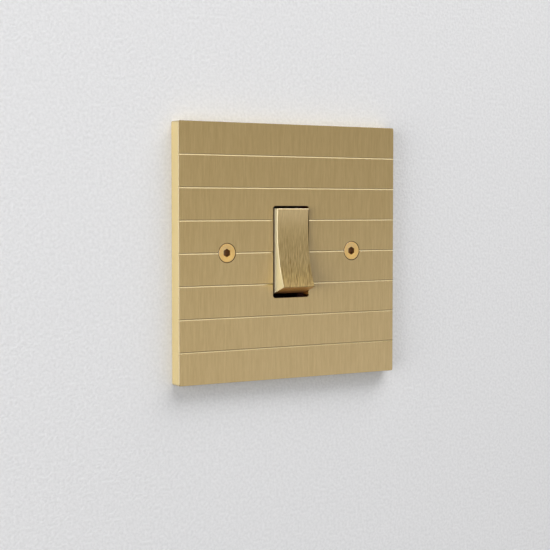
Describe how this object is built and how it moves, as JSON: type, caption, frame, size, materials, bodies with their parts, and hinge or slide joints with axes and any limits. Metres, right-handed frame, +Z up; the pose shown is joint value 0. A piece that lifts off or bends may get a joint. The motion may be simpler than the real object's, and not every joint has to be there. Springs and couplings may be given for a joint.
{
  "type": "light switch",
  "caption": "Square grooved brass wall plate with a tipping rocker, on a steel frame that carries a change-over contact block with screw terminals behind the wall line.",
  "frame": {"origin": "middle of the plate's back, on the wall plane, midway between the wall-box screws", "axes": "+X right and +Z up as the switch is seen on the wall, +Y into the wall"},
  "size_m": [0.086, 0.0375, 0.086],
  "materials": {
    "brushed_brass": "satin brushed",
    "polished_brass": "polished",
    "zinc_plated_steel": "zinc plated",
    "plated_steel": "nickel plated",
    "terminal_brass": "machined",
    "contact_copper": "rolled strip",
    "contact_silver": "satin silver",
    "dark_moulding": "moulded",
    "natural_nylon": "moulded"
  },
  "bodies": {
    "base": {"front_plate": "brushed_brass", "plate_screws": "polished_brass", "mounting_frame": "zinc_plated_steel", "frame_bushes": "terminal_brass", "switch_housing": "dark_moulding", "rocker_pin": "plated_steel", "blade_bracket": "contact_copper", "upper_line_contact": "contact_copper", "lower_line_contact": "contact_copper", "fixed_contacts": "contact_silver", "lower_line_terminal": "terminal_brass", "common_terminal": "terminal_brass", "upper_line_terminal": "terminal_brass", "terminal_screws": "plated_steel", "terminal_base": "dark_moulding", "base_screws": "plated_steel", "earth_terminal": "terminal_brass", "earth_screw": "plated_steel"},
    "rocker": {"rocker_cap": "brushed_brass", "rocker_carrier": "dark_moulding", "cap_screws": "plated_steel", "plunger_spring": "plated_steel"},
    "plunger": {"plunger": "natural_nylon"},
    "blade": {"contact_blade": "contact_copper", "moving_contacts": "contact_silver"}
  },
  "joints": [
    {"name": "rocker_tip", "type": "hinge", "parent": "base", "child": "rocker", "pos_m": [0, 0.00165, 0], "axis": [1, 0, 0], "range_deg": [0, 16.4]},
    {"name": "plunger_slide", "type": "slide", "parent": "rocker", "child": "plunger", "axis": [0, -0.9898, 0.1426], "range_m": [0, 0.0004], "stiffness_N_per_m": 300, "springref_m": -0.002, "deforming": ["plunger_spring"]},
    {"name": "blade_seesaw", "type": "hinge", "parent": "base", "child": "blade", "pos_m": [0, 0.01195, 0], "axis": [1, 0, 0], "range_deg": [-14, 0]}
  ],
  "couplings": [
    {"joint": "blade_seesaw", "follows": "rocker_tip", "ratio": -0.8536}
  ]
}
